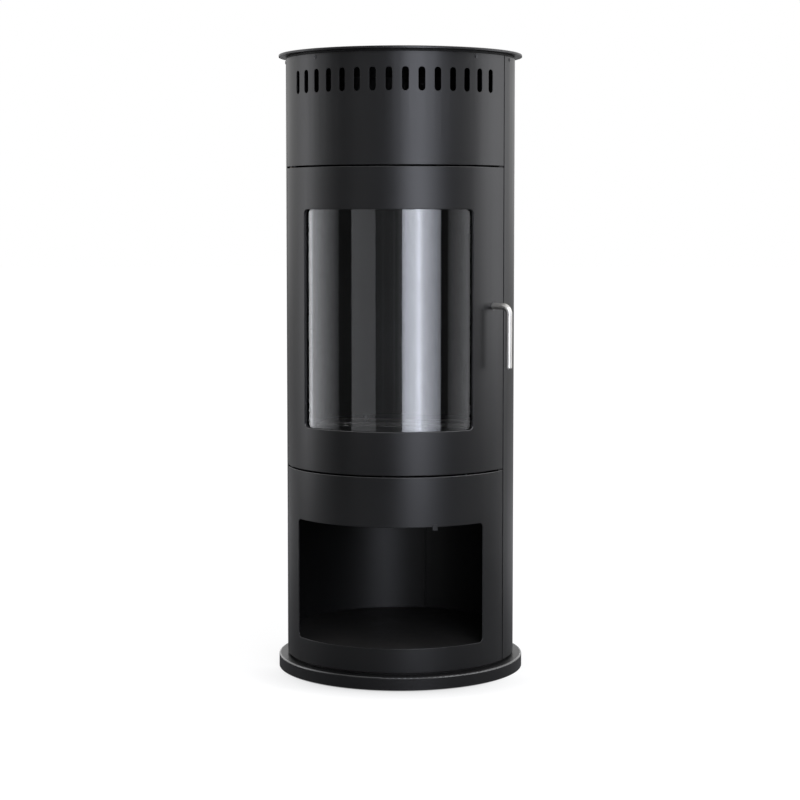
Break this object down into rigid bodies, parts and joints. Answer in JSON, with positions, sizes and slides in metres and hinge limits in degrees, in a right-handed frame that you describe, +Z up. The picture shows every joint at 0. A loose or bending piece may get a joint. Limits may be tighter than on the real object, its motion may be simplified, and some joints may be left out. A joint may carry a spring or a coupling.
{
  "type": "bioethanol fireplace",
  "caption": "Free-standing round bioethanol stove with a curved glass door, vent slots above it, an open compartment below and a wide base disc.",
  "frame": {"origin": "middle of the base disc, on the floor", "axes": "+Z up along the body, -Y towards the front, where the door and the compartment's opening are, +X to the viewer's right"},
  "size_m": [0.4499, 0.45, 1.124],
  "materials": {
    "body_coating": "satin black powder coat",
    "inner_black_steel": "matt black heat-proof paint",
    "foot_rubber": "matt moulded rubber",
    "plated_steel": "bright zinc plate",
    "spring_steel": "rolled spring steel",
    "brass_bearing": "turned bearing bronze",
    "window_glass": "clear heat-proof glass, polished",
    "gasket_cord": "black woven glass-fibre tape",
    "black_plastic": "matt heat-proof moulding",
    "brushed_stainless": "brushed stainless steel",
    "ceramic_wool": "soft white ceramic fibre",
    "black_hardware": "blackened steel"
  },
  "bodies": {
    "stove": {"foot_pads": "foot_rubber", "foot_studs": "plated_steel", "foot_nuts": "plated_steel", "base_pan": "body_coating", "plinth_ring": "inner_black_steel", "floor_tray": "inner_black_steel", "left_shell": "body_coating", "right_shell": "body_coating", "back_strip": "body_coating", "strip_rivets": "black_hardware", "left_seam_strip": "inner_black_steel", "right_stop_strip": "inner_black_steel", "lower_front_panel": "body_coating", "tool_clip": "black_hardware", "firebox_floor": "inner_black_steel", "deck_legs": "inner_black_steel", "burner_deck": "inner_black_steel", "heat_shield": "inner_black_steel", "firebox_ceiling": "inner_black_steel", "upper_front_panel": "body_coating", "top_ring": "inner_black_steel", "top_plate": "body_coating", "case_screws": "black_hardware", "flange_screws": "plated_steel", "hinge_pins": "plated_steel", "thrust_washers": "brass_bearing", "catch_spring": "spring_steel", "catch_screws": "plated_steel"},
    "door": {"door_panel": "body_coating", "window_glass": "window_glass", "glass_gasket": "gasket_cord", "glass_clips": "spring_steel", "clip_studs": "plated_steel", "clip_nuts": "plated_steel", "hinge_bushes": "brass_bearing", "handle_bush": "black_plastic"},
    "handle": {"door_handle": "brushed_stainless", "latch_tongue": "spring_steel", "shaft_nut": "plated_steel"},
    "burner": {"burner_tank": "brushed_stainless", "burner_plate": "brushed_stainless", "ceramic_wool": "ceramic_wool", "lid_guides": "brushed_stainless"},
    "lid": {"burner_lid": "brushed_stainless", "lid_knob": "black_plastic"}
  },
  "joints": [
    {"name": "door_swing", "type": "hinge", "parent": "stove", "child": "door", "pos_m": [-0.1818, -0.07844, 0.648], "axis": [0, 0, -1], "range_deg": [0, 100], "deforming": ["catch_spring"]},
    {"name": "handle_turn", "type": "hinge", "parent": "door", "child": "handle", "pos_m": [0.18268, -0.10154, 0.6718], "axis": [0.874, -0.4858, 0], "range_deg": [0, 90]},
    {"name": "burner_lift", "type": "slide", "parent": "stove", "child": "burner", "axis": [0, 0, 1], "range_m": [0, 0.09]},
    {"name": "lid_slide", "type": "slide", "parent": "burner", "child": "lid", "axis": [1, 0, 0], "range_m": [0, 0.125]}
  ]
}
